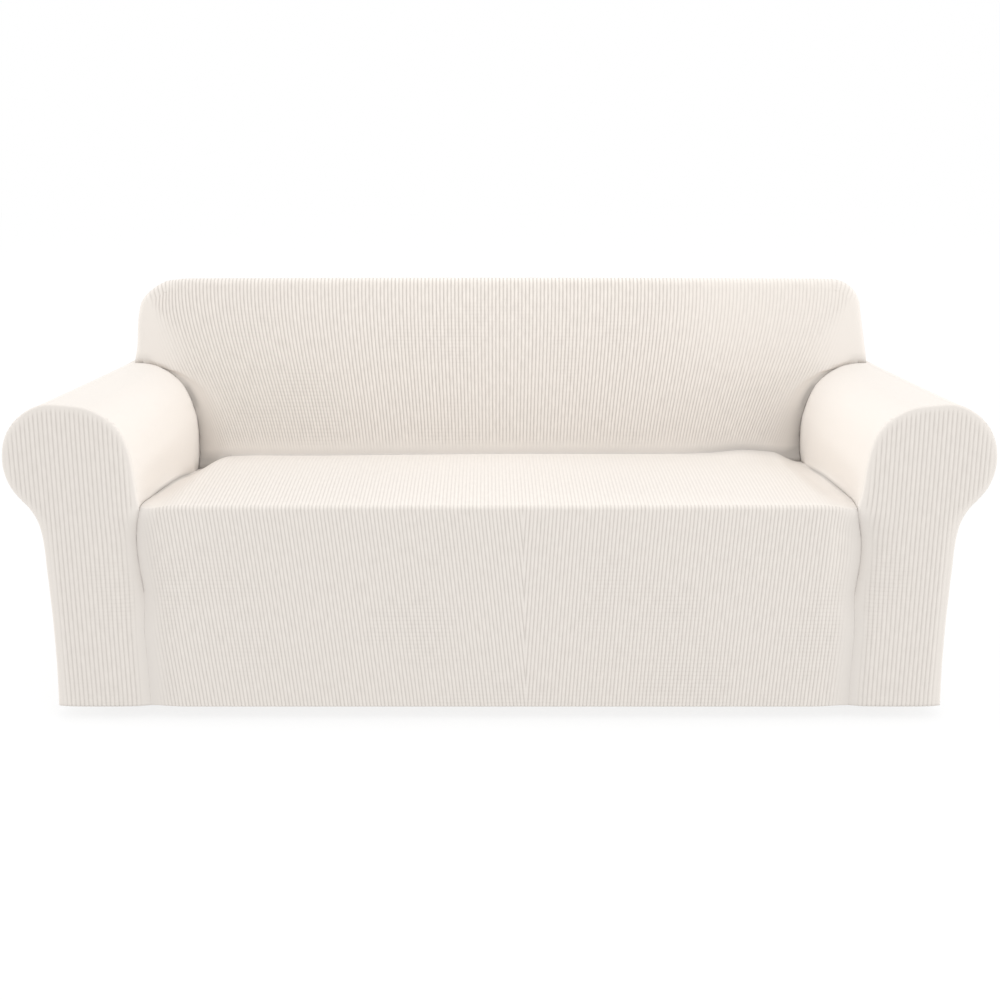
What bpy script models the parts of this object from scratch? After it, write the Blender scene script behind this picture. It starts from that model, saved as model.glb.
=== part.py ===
"""Stretch slipcover for a three-seat sofa with rolled arms, one solid for each sewn panel.

Metres. X runs along the sofa, Y from its front to its back, and Z up from the floor. The panels are
worked out in that floor frame, then moved so that the origin is under the cloth at the middle of the
back's top, just behind its front edge, where the cover hangs on the sofa.
"""

import math

import bmesh
import bpy
from mathutils import Vector

# Cloth and sewing
CLOTH = 0.002
SEAM_EASE = 0.0002          # how far each panel stops short of a seam line
SEAM_GAP = 0.0003           # clear space behind a panel that another one butts against

# Overall
HEM_Z = 0.030
DEPTH = 0.900
SIDE_COLUMNS = 24           # columns of cloth across the sofa
QUARTER_TURN = math.radians(90)
COLUMN_CROWDING = math.radians(70)

# Arm fronts: one row for each height, from the hem to the top of the roll.
# z, inner and outer edge of the arm's front face, and where the arm's inner side meets the inside
# back behind it (x and depth), from the seat up.
ARM_ROWS = [
    dict(z=HEM_Z, inner=0.757, outer=0.957),
    dict(z=0.110, inner=0.757, outer=0.954),
    dict(z=0.200, inner=0.759, outer=0.953),
    dict(z=0.270, inner=0.763, outer=0.954),
    dict(z=0.340, inner=0.765, outer=0.956),
    dict(z=0.400, inner=0.762, outer=0.958),
    dict(z=0.440, inner=0.758, outer=0.965),
    dict(z=0.470, inner=0.755, outer=0.980, rear=0.770, rear_depth=0.579),
    dict(z=0.492, inner=0.755, outer=0.999, rear=0.769, rear_depth=0.594),
    dict(z=0.515, inner=0.755, outer=1.015, rear=0.770, rear_depth=0.602),
    dict(z=0.543, inner=0.757, outer=1.025, rear=0.772, rear_depth=0.609),
    dict(z=0.572, inner=0.760, outer=1.028, rear=0.777, rear_depth=0.616),
    dict(z=0.604, inner=0.766, outer=1.024, rear=0.787, rear_depth=0.623),
    dict(z=0.632, inner=0.777, outer=1.013, rear=0.802, rear_depth=0.629),
    dict(z=0.655, inner=0.795, outer=0.996, rear=0.823, rear_depth=0.634),
    dict(z=0.673, inner=0.821, outer=0.974, rear=0.846, rear_depth=0.638),
    dict(z=0.685, inner=0.851, outer=0.952, rear=0.868, rear_depth=0.640),
    dict(z=0.691, inner=0.905, outer=0.930, rear=0.905, rear_depth=0.641),
]
CROTCH_ROW = 7              # row where the seat, the arm and the front meet
TOP_ROW = len(ARM_ROWS) - 1
ARM_FRONT_COLUMNS = 6
ARM_FRONT_DOME = 0.006      # how far the stuffed arm front stands out past its rim
ARM_DEPTH_ROWS = 8          # rows of cloth along the arm, from its front to the inside back
ARM_NARROWS_FROM = 0.25     # depth where the arm's inner side starts to change towards its rear shape
ROLL_FALL = 0.009           # how much lower the roll is where it meets the back than at its front
ROLL_TAPER = 0.018          # how much further in the roll's outer side is there
ROLL_FULL_Z = 0.600         # above this height the roll falls and tapers in full
ROLL_SETTLING = 0.7         # power below 1, so that it falls and tapers faster near the front
ARM_SEAT_REACH = 0.090      # height over which the arm's inner side follows the seat's seam

# Crease beside the front of the seat, which fades into a shallow valley further down
CREASE_DEPTH = 0.014
CREASE_Z = 0.400            # height at which the crease has reached its depth
CREASE_FADES_FROM = 0.300
CREASE_ENDS_AT = 0.180
VALLEY_DEPTH = 0.004
VALLEY_PULL = 4             # power that keeps the valley close to the seam on the arm front

# Seat: where its side is sewn to the arm, one row for each depth
SEAT_SIDE = [
    dict(depth=0.010, x=0.755, z=0.470),
    dict(depth=0.080, x=0.760, z=0.466),
    dict(depth=0.150, x=0.761, z=0.461),
    dict(depth=0.220, x=0.762, z=0.456),
    dict(depth=0.300, x=0.763, z=0.450),
    dict(depth=0.380, x=0.764, z=0.443),
    dict(depth=0.460, x=0.766, z=0.438),
    dict(depth=0.530, x=0.768, z=0.434),
    dict(depth=0.579, x=0.770, z=0.431),
]
SEAT_REAR_DEPTH = 0.584
SEAT_REAR_Z = 0.457
SEAT_FRONT_Z = 0.480
SEAT_CROWN = 0.006
NOSE_RADIUS = 0.010
NOSE_STEPS = 3
FRONT_FLARE = 0.004         # how far the front stands out at the nose, past the hem
EDGE_PULL = 12              # power that keeps the pull of a side seam close to it

# Back
LEAN = math.tan(math.radians(13.5))
BACK_ROUND = 0.025          # rounding from the inside back to the top and the sides
BACK_ROUND_STEPS = 3
WRAP_STEPS = 3              # rows of cloth from that rounding to the rear
BACK_CORNER_RADIUS = 0.075
BACK_CORNER_X = 0.838
BACK_CORNER_Z = 0.812
BACK_CORNER_STEPS = 4
BACK_SIDE_STEPS = 2
BACK_TOP_Z = BACK_CORNER_Z + BACK_CORNER_RADIUS
BACK_TOP_CROWN = 0.002
BACK_TOP_FALL = 0.022       # how far the top falls from its front rounding to the rear
BACK_PILLOW = 0.008
REAR_HOLLOW = 0.004         # how far the rear panel sinks in at its middle

REAR_EDGE = DEPTH - CLOTH - SEAM_GAP
ROLL_OUTER_X = max(row["outer"] for row in ARM_ROWS)
FRONT_RIM = ARM_FRONT_DOME
ARM_START = FRONT_RIM + CLOTH + SEAM_GAP


def smooth_step(value, low, high):
    """0 below low, 1 above high, and a smooth rise between them."""
    share = min(max((value - low) / (high - low), 0.0), 1.0)
    return share * share * (3 - 2 * share)


def mix(first, second, share):
    return first + (second - first) * share


def swell(place, flatness):
    """1 in a panel's middle (place 0) and 0 at its rim (place -1 or 1), flatter for a larger flatness."""
    return 1 - abs(place) ** flatness


def side_pull(across):
    """1 at a panel's two side seams (across -1 or 1) and close to 0 over most of its width."""
    return abs(across) ** EDGE_PULL


def across_panel(column):
    """Place of a column across the sofa, from -1 to 1, with the columns closer near the sides."""
    even = 2 * column / SIDE_COLUMNS - 1
    return math.sin(even * COLUMN_CROWDING) / math.sin(COLUMN_CROWDING)


# Seam lines, on the right-hand side


def crease_depth(z):
    """Depth of the seam between the arm front and the front of the seat."""
    if z >= ARM_ROWS[CROTCH_ROW]["z"]:
        return FRONT_RIM
    crotch = ARM_ROWS[CROTCH_ROW]["z"]
    sinking = smooth_step(crotch - z, 0.0, crotch - CREASE_Z)
    creased = smooth_step(z, CREASE_ENDS_AT, CREASE_FADES_FROM)
    return FRONT_RIM + sinking * mix(VALLEY_DEPTH, CREASE_DEPTH, creased)


def front_seam(row):
    """Seam between the front of the seat and the arm front."""
    z = ARM_ROWS[row]["z"]
    return Vector((ARM_ROWS[row]["inner"], crease_depth(z), z))


def seat_side_seam(row):
    """Seam between the seat and the inner side of the arm, from the front to the back."""
    place = SEAT_SIDE[row]
    depth = ARM_START if row == 0 else place["depth"]
    return Vector((place["x"], depth, place["z"]))


def roll_settled(x, z, depth):
    """A point of the arm's outline at a depth, where the roll is lower and narrower than at its front."""
    settling = min(depth / ARM_ROWS[TOP_ROW]["rear_depth"], 1.0) ** ROLL_SETTLING
    settling *= smooth_step(z, ARM_ROWS[CROTCH_ROW - 1]["z"], ROLL_FULL_Z)
    outer_share = smooth_step(x, ARM_ROWS[TOP_ROW]["outer"], ROLL_OUTER_X)
    return Vector((x - ROLL_TAPER * settling * outer_share, depth, z - ROLL_FALL * settling))


def arm_stations():
    """Points of the arm's outline from the seat, up over the roll and down to the hem.

    Each is a dict: its place at the front (x, z), at the inside back (rear) and the depth it ends at.
    """
    stations = []
    for row in ARM_ROWS[CROTCH_ROW:]:
        stations.append(dict(x=row["inner"], z=row["z"], rear=row["rear"], depth=row["rear_depth"]))
    top = ARM_ROWS[TOP_ROW]
    for step in range(1, BACK_ROUND_STEPS + 1):
        angle = QUARTER_TURN * step / BACK_ROUND_STEPS
        x = top["inner"] + BACK_ROUND * math.sin(angle)
        depth = top["rear_depth"] + BACK_ROUND * (1 - math.cos(angle))
        stations.append(dict(x=x, z=top["z"], rear=x, depth=depth))
    for row in reversed(ARM_ROWS[:TOP_ROW]):
        stations.append(dict(x=row["outer"], z=row["z"], rear=row["outer"], depth=stations[-1]["depth"]))
    return stations


STATIONS = arm_stations()
INNER_STATIONS = TOP_ROW - CROTCH_ROW               # station where the back's face meets the roll's top


def arm_point(station, row):
    """Point of the right arm at a station of its outline and a row along its depth."""
    place = STATIONS[station]
    if station == 0:
        return seat_side_seam(row)
    depth = mix(ARM_START, place["depth"], row / ARM_DEPTH_ROWS)
    x = mix(place["x"], place["rear"], smooth_step(depth, ARM_NARROWS_FROM, place["depth"]))
    point = roll_settled(x, place["z"], depth)
    if station < INNER_STATIONS:
        seam = seat_side_seam(row)
        start = STATIONS[0]
        plain = mix(start["x"], start["rear"], smooth_step(seam.y, ARM_NARROWS_FROM, start["depth"]))
        near_seat = 1 - smooth_step(place["z"], start["z"] - ARM_SEAT_REACH / 4, start["z"] + ARM_SEAT_REACH)
        point += Vector((seam.x - plain, 0, seam.z - start["z"])) * near_seat
    return point


def back_face_depth(z):
    return SEAT_REAR_DEPTH + (z - SEAT_REAR_Z) * LEAN


def back_rim():
    """Right-hand edge of the back's face above the arm, up round the corner to the top."""
    corner = BACK_CORNER_RADIUS - BACK_ROUND
    low = arm_point(INNER_STATIONS, ARM_DEPTH_ROWS)
    high = Vector((BACK_CORNER_X + corner, 0, BACK_CORNER_Z))
    rim = [low.lerp(high, step / BACK_SIDE_STEPS) for step in range(1, BACK_SIDE_STEPS)]
    for step in range(BACK_CORNER_STEPS + 1):
        angle = QUARTER_TURN * step / BACK_CORNER_STEPS
        turned = Vector((math.cos(angle), 0, math.sin(angle))) * corner
        rim.append(Vector((BACK_CORNER_X, 0, BACK_CORNER_Z)) + turned)
    for point in rim:
        point.y = back_face_depth(point.z)
    return rim


def back_side_points():
    """Right-hand edge of the back's face, from the seat up to the top."""
    seam = [arm_point(station, ARM_DEPTH_ROWS) for station in range(INNER_STATIONS + 1)]
    return seam + back_rim()


def outward(point):
    """Direction from the back's face to its rounded rim, seen from the front."""
    sideways = max(abs(point.x) - BACK_CORNER_X, 0.0)
    upwards = max(point.z - BACK_CORNER_Z, 0.0)
    return Vector((math.copysign(sideways, point.x), 0, upwards)).normalized()


def wrapped(point, step):
    """The next point on the way from the face of the back round its rim to the rear."""
    if step < BACK_ROUND_STEPS:
        before = QUARTER_TURN * step / BACK_ROUND_STEPS
        after = QUARTER_TURN * (step + 1) / BACK_ROUND_STEPS
        moved = point + outward(point) * BACK_ROUND * (math.sin(after) - math.sin(before))
        moved.y += BACK_ROUND * (math.cos(before) - math.cos(after))
        return moved
    fall = BACK_TOP_FALL * smooth_step(point.z, ARM_ROWS[TOP_ROW]["z"], BACK_TOP_Z)
    steps_left = BACK_ROUND_STEPS + WRAP_STEPS - step
    return Vector((point.x, point.y + (REAR_EDGE - point.y) / steps_left, point.z - fall / WRAP_STEPS))


def rear_side_points():
    """Right-hand edge of the rear panel, from the hem up round the roll and the back's side."""
    outer_stations = range(len(STATIONS) - 1, INNER_STATIONS + BACK_ROUND_STEPS - 1, -1)
    edge = [arm_point(station, ARM_DEPTH_ROWS) for station in outer_stations]
    for point in back_rim():
        for step in range(BACK_ROUND_STEPS + WRAP_STEPS):
            point = wrapped(point, step)
        edge.append(point)
    return edge


# Making panels


def cloth_grid(columns, rows, place):
    """Quads whose corner at (column, row) lies at place(column, row)."""
    mesh = bmesh.new()
    bmesh.ops.create_grid(mesh, x_segments=columns, y_segments=rows, size=0.5)
    for corner in mesh.verts:
        column = round((corner.co.x + 0.5) * columns)
        row = round((corner.co.y + 0.5) * rows)
        corner.co = place(column, row)
    return mesh


def extrude_edges(mesh, edges, step_count, move):
    """Extrudes edges step_count times. move(point, step) gives each new point's place."""
    for step in range(step_count):
        made = bmesh.ops.extrude_edge_only(mesh, edges=edges)["geom"]
        for corner in [item for item in made if isinstance(item, bmesh.types.BMVert)]:
            corner.co = move(corner.co, step)
        edges = [item for item in made if isinstance(item, bmesh.types.BMEdge)]


def ease_seams(mesh):
    """Draws each edge of a panel back a little from its seam line."""
    eased = {}
    for corner in mesh.verts:
        if corner.is_boundary:
            middle = sum((face.calc_center_median() for face in corner.link_faces), Vector())
            inward = middle / len(corner.link_faces) - corner.co
            eased[corner] = corner.co + inward.normalized() * SEAM_EASE
    for corner, place in eased.items():
        corner.co = place


def knit_material(name, colour):
    material = bpy.data.materials.new(name)
    material.use_nodes = True
    shader = material.node_tree.nodes["Principled BSDF"]
    shader.inputs["Base Color"].default_value = (*colour, 1)
    shader.inputs["Roughness"].default_value = 0.9
    shader.inputs["Metallic"].default_value = 0.0
    return material


def finish_panel(mesh, name, colour):
    """Object of a panel's outer face, given its thickness on the inner side."""
    ease_seams(mesh)
    bmesh.ops.translate(mesh, verts=mesh.verts, vec=-ORIGIN)
    data = bpy.data.meshes.new(name)
    mesh.to_mesh(data)
    mesh.free()
    data.shade_smooth()
    data.materials.append(knit_material(name, colour))
    panel = bpy.data.objects.new(name, data)
    bpy.context.scene.collection.objects.link(panel)
    thickness = panel.modifiers.new("cloth", "SOLIDIFY")
    thickness.thickness = CLOTH
    thickness.offset = -1
    thickness.use_even_offset = True
    return panel


def face_like(mesh, direction):
    """Turns the panel round if its faces point away from direction on the whole."""
    total = sum((face.normal * face.calc_area() for face in mesh.faces), Vector())
    if total.dot(direction) < 0:
        bmesh.ops.reverse_faces(mesh, faces=mesh.faces)
    mesh.normal_update()


# The panels


def arm_front(side):
    """Shaped front face of an arm, a little domed."""

    def place(column, row):
        share = column / ARM_FRONT_COLUMNS
        line = ARM_ROWS[row]
        across = 2 * share - 1
        up = row / TOP_ROW
        dome = ARM_FRONT_DOME * swell(across, 4) * swell(up, 6)
        sunk = (crease_depth(line["z"]) - FRONT_RIM) * (1 - share) ** VALLEY_PULL
        return Vector((side * mix(line["inner"], line["outer"], share), FRONT_RIM - dome + sunk, line["z"]))

    mesh = cloth_grid(ARM_FRONT_COLUMNS, TOP_ROW, place)
    mesh.normal_update()
    face_like(mesh, Vector((0, -1, 0)))
    return mesh


def arm(side):
    """Inner side of an arm, over its roll and down its outer side to the hem."""

    def place(column, row):
        point = arm_point(column, row)
        return Vector((side * point.x, point.y, point.z))

    mesh = cloth_grid(len(STATIONS) - 1, ARM_DEPTH_ROWS, place)
    crest = arm_point(INNER_STATIONS + BACK_ROUND_STEPS, ARM_DEPTH_ROWS)
    rear_edges = []
    for rim in mesh.edges:
        level = all(abs(corner.co.y - crest.y) < CLOTH for corner in rim.verts)
        outside = max(abs(corner.co.x) for corner in rim.verts) > crest.x + CLOTH
        if rim.is_boundary and level and outside:
            rear_edges.append(rim)

    def to_rear(point, step):
        return Vector((point.x, point.y + (REAR_EDGE - point.y) / (WRAP_STEPS - step), point.z))

    extrude_edges(mesh, rear_edges, WRAP_STEPS, to_rear)
    mesh.normal_update()
    face_like(mesh, Vector((side, 0, 0)))
    return mesh


def seat_and_front():
    """Seat top that turns over the nose and falls to the hem."""
    profile = []
    sides = []
    for row in range(ARM_DEPTH_ROWS, -1, -1):
        share = row / ARM_DEPTH_ROWS
        depth = mix(NOSE_RADIUS - FRONT_FLARE, SEAT_REAR_DEPTH, share)
        crown = SEAT_CROWN * swell(2 * share - 1, 2)
        profile.append(Vector((0, depth, mix(SEAT_FRONT_Z, SEAT_REAR_Z, share) + crown)))
        sides.append(seat_side_seam(row))
    nose_top = profile[-1].copy()
    crotch = sides[-1]
    below = front_seam(CROTCH_ROW - 1)
    for step in range(1, NOSE_STEPS + 1):
        angle = QUARTER_TURN * step / NOSE_STEPS
        lower = nose_top.z - NOSE_RADIUS * (1 - math.cos(angle))
        profile.append(Vector((0, nose_top.y - NOSE_RADIUS * math.sin(angle), lower)))
        sides.append(crotch.lerp(below, step / (NOSE_STEPS + 1)))
    nose_bottom = profile[-1].copy()
    for row in range(CROTCH_ROW - 1, -1, -1):
        z = ARM_ROWS[row]["z"]
        share = (nose_bottom.z - z) / (nose_bottom.z - HEM_Z)
        profile.append(Vector((0, mix(nose_bottom.y, 0.0, share), z)))
        sides.append(front_seam(row))

    def place(column, row):
        across = across_panel(column)
        middle = profile[row]
        seam = sides[row]
        pull = side_pull(across)
        return Vector((across * seam.x, mix(middle.y, seam.y, pull), mix(middle.z, seam.z, pull)))

    mesh = cloth_grid(SIDE_COLUMNS, len(profile) - 1, place)
    mesh.normal_update()
    face_like(mesh, Vector((0, -1, 1)))
    return mesh


def inside_back():
    """Inside back with its wrap over the top and round both sides."""
    edge = back_side_points()
    last = len(edge) - 1
    low = SEAT_REAR_Z
    high = edge[last].z

    def place(column, row):
        across = across_panel(column)
        seam = edge[row]
        pull = side_pull(across)
        middle = low if row == 0 else mix(mix(low, high, row / last), seam.z, 0.5)
        z = mix(middle, seam.z, pull)
        if row == last:
            z += BACK_TOP_CROWN * swell(across, 2)
        up = (z - low) / (high - low)
        pillow = BACK_PILLOW * swell(across, 2) * swell(2 * up - 1, 2)
        depth = back_face_depth(z) - pillow + (seam.y - back_face_depth(seam.z)) * pull
        return Vector((across * seam.x, depth, z))

    mesh = cloth_grid(SIDE_COLUMNS, last, place)
    crest = edge[INNER_STATIONS].z
    rim_edges = []
    for rim in mesh.edges:
        if rim.is_boundary and min(corner.co.z for corner in rim.verts) > crest - SEAM_EASE:
            rim_edges.append(rim)
    extrude_edges(mesh, rim_edges, BACK_ROUND_STEPS + WRAP_STEPS, wrapped)
    mesh.normal_update()
    face_like(mesh, Vector((0, -1, 0)))
    return mesh


def outside_back():
    """Rear panel from the hem to the top, with the outline of the arms and the back."""
    edge = rear_side_points()
    last = len(edge) - 1
    high = edge[last].z

    def place(column, row):
        across = across_panel(column)
        z = edge[row].z
        if row == last:
            z += BACK_TOP_CROWN * swell(across, 2)
        up = (z - HEM_Z) / (high - HEM_Z)
        hollow = REAR_HOLLOW * swell(across, 4) * swell(up, 4)
        return Vector((across * edge[row].x, DEPTH - hollow, z))

    mesh = cloth_grid(SIDE_COLUMNS, last, place)
    mesh.normal_update()
    face_like(mesh, Vector((0, 1, 0)))
    return mesh


BACK_CREST_Z = BACK_TOP_Z + BACK_TOP_CROWN
ORIGIN = Vector((0, back_face_depth(BACK_CREST_Z - BACK_ROUND) + BACK_ROUND, BACK_CREST_Z - CLOTH))
CREAM = (0.86, 0.82, 0.76)


def main():
    for item in list(bpy.data.objects):
        bpy.data.objects.remove(item, do_unlink=True)
    finish_panel(seat_and_front(), "seat_and_front", CREAM)
    finish_panel(inside_back(), "inside_back", CREAM)
    finish_panel(outside_back(), "outside_back", CREAM)
    for word, side in (("right", 1), ("left", -1)):
        finish_panel(arm(side), "arm_" + word, CREAM)
        finish_panel(arm_front(side), "arm_front_" + word, CREAM)


main()
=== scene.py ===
"""Off-white ribbed knit slipcover for seating with rolled arms and one long seat, as it lies when fitted.

Metres. Each sewn panel is a sheet of cloth on the lines of its solid, with three to six columns of the
mesh to a rib. The panels are worked out in the floor frame (X along the cover, Y from its front to its
back, Z up from the floor) and then moved to the frame of the model.
"""

import math
from collections import namedtuple

import bmesh
import bpy
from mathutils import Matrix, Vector, kdtree
from mathutils.geometry import interpolate_bezier


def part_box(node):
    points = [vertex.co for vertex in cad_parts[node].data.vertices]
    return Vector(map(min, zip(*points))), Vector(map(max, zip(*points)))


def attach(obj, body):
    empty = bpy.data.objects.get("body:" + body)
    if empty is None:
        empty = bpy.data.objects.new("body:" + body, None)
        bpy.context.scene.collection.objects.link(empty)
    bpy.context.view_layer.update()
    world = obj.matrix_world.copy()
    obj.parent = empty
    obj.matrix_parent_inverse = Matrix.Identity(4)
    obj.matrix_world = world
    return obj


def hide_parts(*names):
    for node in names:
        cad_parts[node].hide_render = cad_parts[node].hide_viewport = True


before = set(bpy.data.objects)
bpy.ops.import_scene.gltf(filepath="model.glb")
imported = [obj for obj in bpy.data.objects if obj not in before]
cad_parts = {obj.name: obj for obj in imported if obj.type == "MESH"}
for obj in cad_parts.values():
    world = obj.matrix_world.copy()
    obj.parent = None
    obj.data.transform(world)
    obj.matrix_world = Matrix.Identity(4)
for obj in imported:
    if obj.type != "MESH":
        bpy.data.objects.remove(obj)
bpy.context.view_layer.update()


def table(names, *rows):
    """A table's rows as dicts. names are those of its columns."""
    return [dict(zip(names.split(), row)) for row in rows]


# Cloth and sewing
CLOTH = 0.002
SEAM_TUCK = 0.003  # how much deeper than the panels around it a seam in a crease lies
TUCK_REACH = 0.012  # how far from the seam the cloth starts to turn into it
SEAM_ROUND = 0.007  # how far the seam between the seat and an arm is rounded up out of its crease
SEAM_ROUND_REACH = 0.012
SEAM_ROUND_GROWS = (0.100, 0.350)  # depths between which it gets rounded, from the front
SEAM_ROUND_ENDS = (0.520, 0.575)
BACK_TUCK = 0.014  # how deep the seam between the inside back and an arm lies
BACK_TUCK_REACH = 0.065
BACK_TUCK_LOW = 0.9  # shares of that beside the seat's corner and over the roll
BACK_TUCK_HIGH = 0.05
BACK_TUCK_EASES = (0.50, 0.66)  # heights between which it gets shallow
ROLL_TUCK = 0.003  # how far the arm's roll turns in beside the back, half-way up it
ROLL_TUCK_REACH = 0.026
ROLL_LOWER_HALF = (0.54, 0.60)
ROLL_UPPER_HALF = (0.615, 0.655)
SEAT_TUCK = 0.009  # how far the seat turns down at the foot of the back, where that crease is deep
SEAT_TUCK_REACH = 0.080
FOOT_OVERLAP = 0.0015  # how far the back's foot reaches below the seat
FOOT_HEIGHT = 0.1  # how far up the back follows the line of its foot
HEM_WIDTH = 0.018
HEM_SWELL = 0.0006  # how far the turned-up hem stands out
HEM_EDGE = (HEM_WIDTH - 0.001, HEM_WIDTH + 0.0015)
HEM_ROWS = (0, 0.006, 0.012, 0.0165, HEM_WIDTH, 0.020)  # of the arm fronts' meshes
RIM_ROLL = 0.005  # radius with which the arm fronts turn back to their seam
SEAM_STITCHES = 12  # points to each stretch of the arm front's outline, to measure from

# Painted shade in and beside the creases, and on a few other parts: 1 is as deep as in a seam.
# Reaches are distances from the seam.
SIDE_SHADE_FRONT = 0.6  # the seam between the seat and an arm, at the front of the seat
SIDE_SHADE_REAR = 0.35
SIDE_SHADE_REACH = 0.038
SIDE_LINE = 1.5  # the same seam's painted dark line, within its crease
SIDE_LINE_GROWS = (0.05, 0.25)  # depths between which it starts
SIDE_LINE_ENDS = (0.43, 0.56)
SIDE_LINE_EDGE = (0.002, 0.012)
VALLEY_SHADE = 0.45  # the seam between an arm front and the front of the seat
VALLEY_SHADE_REACH = 0.080
VALLEY_START = 0.030  # how far below the crotch it has begun
CREASE_SHADE = 0.8  # the same seam's crease
REAR_SHADE = 1.4  # the rear of the seat, where its crease is deep
FOOT_SHADE = 0.8  # the foot of the back
DEEP_FOOT_SHADE = 0.6  # how much is added to it where the crease is deep
FOOT_SHADE_REACH = 0.040
FRONT_SHADE = 0.1  # painted shade: how much darker the arm fronts are than the front of the seat
ROLL_SHADE = 0.2  # painted shade over the upper part of an arm's roll, toning down the light on it
ROLL_SHADE_HEIGHTS = (0.55, 0.67)
ARM_BACK_SHADE = 0.2  # the arm beside the back
LEFT_SHADE = 0.12  # painted shade: how much darker the left of the back is than its right
LEFT_SHADE_FROM = (0.1, 0.7)

# Painted shade on the inside back, beside the arms
CORNER_HEIGHTS = (0.52, 0.64)  # between which the seat's corner gives way to the arm's roll
CORNER_LINE = 0.8  # the painted dark line in the crease at the seat's corner
CORNER_LINE_REACH = 0.045
ROLL_LINE = 0.9  # beside the roll
ROLL_LINE_EDGE = (0.008, 0.034)
MIDDLE_LINE = 1.7  # half-way up the roll
MIDDLE_LINE_EDGE = (0.006, 0.026)
AROUND_CORNER = 0.6  # the soft painted shade around the crease
AROUND_ROLL = 0.12
AROUND_REACH = 0.18
AROUND_RIGHT = 1.6  # how much darker the soft shade is on the right
AROUND_RIGHT_FROM = (0, 0.5)
ABOVE_ROLL = 0.7  # painted shade where the back's side stands on the roll's top
ABOVE_ROLL_REACH = 0.03
ABOVE_ROLL_FROM = (0.85, 0.90)

# How far the ribs show, and the distances over which they come up: from a panel's side seams, from the
# crease or edge at its end, or along the cover's width (from x to x) or its height
FADE_CREASE = (0.01, 0.05)
FADE_RIM = (0.004, 0.02)
SEAT_BOLDNESS = 0.8
SEAT_FAINT = 0.45  # how much of that is left near the seat's rear, and on its right
SEAT_FADE_SIDE = (0.02, 0.12)
SEAT_FADE_REAR = (0.05, 0.45)
SEAT_FADE_RIGHT = (0.15, 0.55)
BACK_BOLDNESS = 1.4
BACK_BOLDEST_X = 0.05
BACK_FAINT_SIDES = 0.88
BACK_FADE_SIDES = (0.2, 0.6)
BACK_FADE_FOOT = (0.008, 0.045)
BACK_FAINT_CORNER = 0.40  # how much fainter the ribs are at the back's upper right
BACK_FADE_RIGHT = (0.35, 0.6)
BACK_FADE_UP = (0.6, 0.8)
REAR_FADE_TOP = (0.002, 0.015)
ARM_FAINT = 0.06
ARM_FADE_END = (0.002, 0.02)
ARM_FADE_INNER = (0.01, 0.06)
ARM_FADE_OUTER = (0.02, 0.14)
ARM_FRONT_BOLDNESS = 0.9
ARM_FRONT_INNER = (0.01, 0.03)
ARM_FRONT_OUTER = (0.004, 0.03)

# Ribs
RIB_RELIEF = 0.0012
RIB_COLUMNS = 4  # mesh columns to a rib
REAR_RIB_COLUMNS = 3
FRONT_RIB_COLUMNS = 6
FRONT_RIB = 0.00795  # pitch of the ribs across the front
SEAT_SPREAD = 0.078  # how much wider the ribs are at the rear of the seat
BACK_RIB = 0.0095  # pitch along the top of the back
BACK_GATHER = 0.11  # how much closer the ribs are at the back's foot, in its middle
BACK_GATHER_SIDE = 0.5  # how much more than that they are gathered towards the sides
BACK_FAN = (0.36, 0.87)  # heights between which they fan out
BACK_FAN_X = 0.7
ARM_RIB = 0.00935
REAR_RIB = 0.0093
CHEVRON_X = 0.048  # the ribs of the front lean towards a line that starts here, at its top
CHEVRON_LEAN = math.tan(math.radians(4.75))
CHEVRON_TILT = math.tan(math.radians(1.25))

# Overall
HEM_Z = 0.030
DEPTH = 0.900

# The arm's front face, a row for each height: its inner and outer edge, and where the arm's inner
# side meets the inside back behind it (x and depth), from the seat up.
ARM_ROWS = table(
    "z inner outer rear rear_depth",
    (HEM_Z, 0.757, 0.957),
    (0.110, 0.757, 0.954),
    (0.200, 0.759, 0.953),
    (0.270, 0.757, 0.954),
    (0.340, 0.764, 0.956),
    (0.400, 0.766, 0.958),
    (0.440, 0.759, 0.965),
    (0.470, 0.750, 0.980, 0.765, 0.579),
    (0.492, 0.753, 0.999, 0.763, 0.594),
    (0.515, 0.755, 1.015, 0.763, 0.602),
    (0.543, 0.757, 1.025, 0.765, 0.609),
    (0.572, 0.760, 1.028, 0.770, 0.616),
    (0.604, 0.766, 1.024, 0.779, 0.623),
    (0.632, 0.777, 1.013, 0.794, 0.629),
    (0.655, 0.795, 0.996, 0.816, 0.634),
    (0.673, 0.821, 0.974, 0.841, 0.638),
    (0.685, 0.851, 0.952, 0.868, 0.640),
    (0.691, 0.905, 0.930, 0.905, 0.641),
)
CROTCH_ROW = 7  # row where the seat, the arm and the front meet
TOP_ROW = len(ARM_ROWS) - 1
ARM_FRONT_DOME = 0.006
ARM_NARROWS_FROM = 0.25
ROLL_FALL = 0.009
ROLL_TAPER = 0.018
ROLL_FULL_Z = 0.600
ROLL_SETTLING = 0.7
ARM_SEAT_REACH = 0.090

# The seam between an arm front and the front of the seat: a crease that is deepest from CREASE_Z down,
# blunt from CREASE_BLUNT_AT down, and a plain valley below CREASE_ENDS_AT
CREASE_DEPTH = 0.014
CREASE_Z = 0.400
CREASE_FADES_FROM = 0.300
CREASE_BLUNT_AT = 0.240
CREASE_ENDS_AT = 0.180
VALLEY_DEPTH = 0.001
VALLEY_PULL = 4  # the larger, the closer to the seam the arm front keeps to its own plane

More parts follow.
